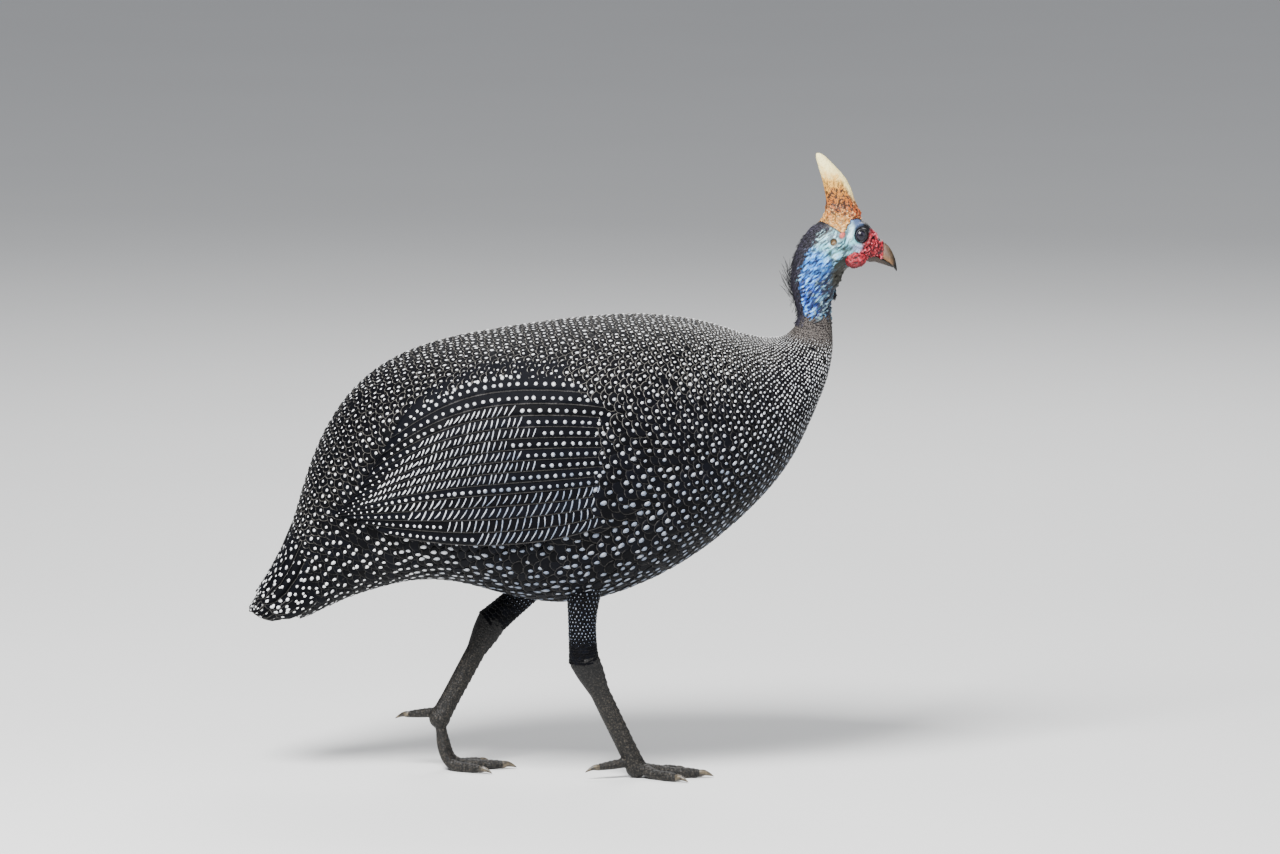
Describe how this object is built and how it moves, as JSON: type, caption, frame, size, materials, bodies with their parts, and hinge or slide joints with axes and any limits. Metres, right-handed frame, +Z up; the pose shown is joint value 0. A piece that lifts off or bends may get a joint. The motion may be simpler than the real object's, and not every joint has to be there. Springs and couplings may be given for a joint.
{
  "type": "guinea fowl",
  "caption": "Life-size still model of a helmeted guinea fowl in a walking pose, with horn casque, wattles, folded wings and drooping tail.",
  "frame": {"origin": "on the floor, under the middle of the whole bird's box", "axes": "+X towards the bill, +Y to the bird's left, +Z up"},
  "size_m": [0.4538, 0.182, 0.4386],
  "materials": {
    "plumage": "soft overlapping feathers, blackish with white spots",
    "bare_skin": "bare wrinkled skin, bright blue to slate",
    "casque": "rough horn, cream tip to orange-brown base",
    "bill": "horn, satin",
    "wattle": "red skin folds, slightly moist",
    "eye": "dark wet eye",
    "leg_scales": "dark horny scutes, satin",
    "claw": "dark horn, satin"
  },
  "bodies": {
    "root": {"torso": "plumage", "tail": "plumage", "wing_left": "plumage", "wing_right": "plumage", "drumstick_left": "plumage", "drumstick_right": "plumage", "head": "bare_skin", "neck": "bare_skin", "casque": "casque", "bill_upper": "bill", "bill_lower": "bill", "wattle_left": "wattle", "wattle_right": "wattle", "eye_left": "eye", "eye_right": "eye", "shank_left": "leg_scales", "shank_right": "leg_scales", "foot_left": "leg_scales", "foot_right": "leg_scales", "claw_left_hind": "claw", "claw_left_inner": "claw", "claw_left_middle": "claw", "claw_left_outer": "claw", "claw_right_hind": "claw", "claw_right_inner": "claw", "claw_right_middle": "claw", "claw_right_outer": "claw"}
  },
  "joints": []
}
